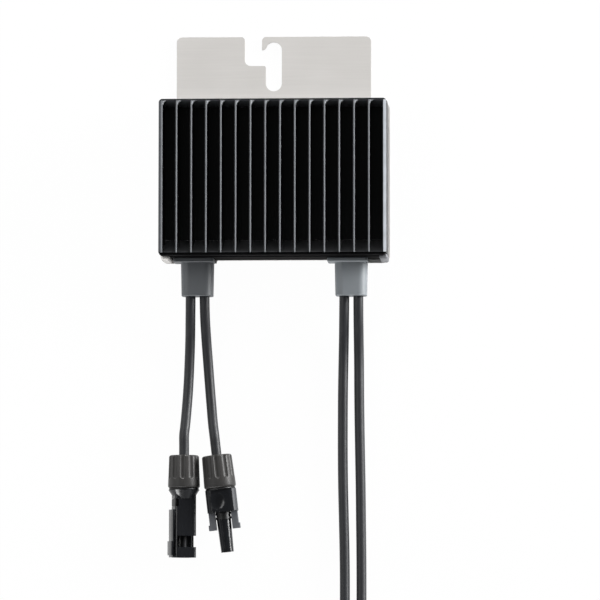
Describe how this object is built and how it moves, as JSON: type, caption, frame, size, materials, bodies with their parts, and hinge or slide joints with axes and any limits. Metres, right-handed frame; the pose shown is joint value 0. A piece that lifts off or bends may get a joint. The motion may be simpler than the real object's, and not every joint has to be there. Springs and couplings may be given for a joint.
{
  "type": "power optimizer",
  "caption": "Solar panel power optimizer: finned black cast housing on a slotted sheet bracket, with short input leads on connectors and longer output leads coiled for storage.",
  "frame": {"origin": "middle of the housing, bracket and boots in plan, on the bracket's rear face", "axes": "+Z out of the rear face towards the fin tips, +Y towards the bracket's tab, +X to the right seen from the fins"},
  "size_m": [0.2036, 0.4054, 0.0335],
  "materials": {
    "cast_black": "satin black coat on cast aluminium",
    "bracket_sheet": "fine matt rolled stainless sheet",
    "gasket_rubber": "matt",
    "screw_steel": "zinc plated",
    "board_laminate": "solder resist",
    "ferrite": "sintered",
    "copper": "bare copper",
    "film_case": "moulded",
    "capacitor_can": "drawn can",
    "chip_resin": "moulded resin",
    "pad_silicone": "soft pad",
    "terminal_brass": "machined",
    "boot_rubber": "moulded, satin",
    "lead_sheath": "extruded sheath",
    "nut_plastic": "moulded, matt",
    "connector_plastic": "moulded, glossy",
    "seal_rubber": "matt",
    "tinned_contact": "tinned copper",
    "tie_strap": "woven hook-and-loop strap"
  },
  "bodies": {
    "root": {"mounting_bracket": "bracket_sheet", "cover_gasket": "gasket_rubber", "heat_sink": "cast_black", "cover_screws": "screw_steel", "circuit_board": "board_laminate", "board_screws": "screw_steel", "inductor_core": "ferrite", "inductor_winding": "copper", "input_capacitors": "film_case", "output_capacitors": "capacitor_can", "power_transistors": "chip_resin", "thermal_pad": "pad_silicone", "control_chip": "chip_resin", "signal_transformer": "ferrite", "lead_terminals": "terminal_brass", "lead_conductors": "copper", "input_boot": "boot_rubber", "output_boot": "boot_rubber", "input_plus_lead": "lead_sheath", "input_plus_nut": "nut_plastic", "input_plus_body": "connector_plastic", "input_plus_seal": "seal_rubber", "input_plus_contact": "tinned_contact", "input_minus_lead": "lead_sheath", "input_minus_nut": "nut_plastic", "input_minus_body": "connector_plastic", "input_minus_seal": "seal_rubber", "input_minus_contact": "tinned_contact", "input_minus_ring": "seal_rubber", "output_plus_lead": "lead_sheath", "output_plus_coil": "lead_sheath", "output_plus_tie": "tie_strap", "output_plus_tail": "lead_sheath", "output_plus_nut": "nut_plastic", "output_plus_body": "connector_plastic", "output_plus_seal": "seal_rubber", "output_plus_contact": "tinned_contact", "output_plus_ring": "seal_rubber", "output_minus_lead": "lead_sheath", "output_minus_coil": "lead_sheath", "output_minus_tie": "tie_strap", "output_minus_tail": "lead_sheath", "output_minus_nut": "nut_plastic", "output_minus_body": "connector_plastic", "output_minus_seal": "seal_rubber", "output_minus_contact": "tinned_contact"}
  },
  "joints": []
}
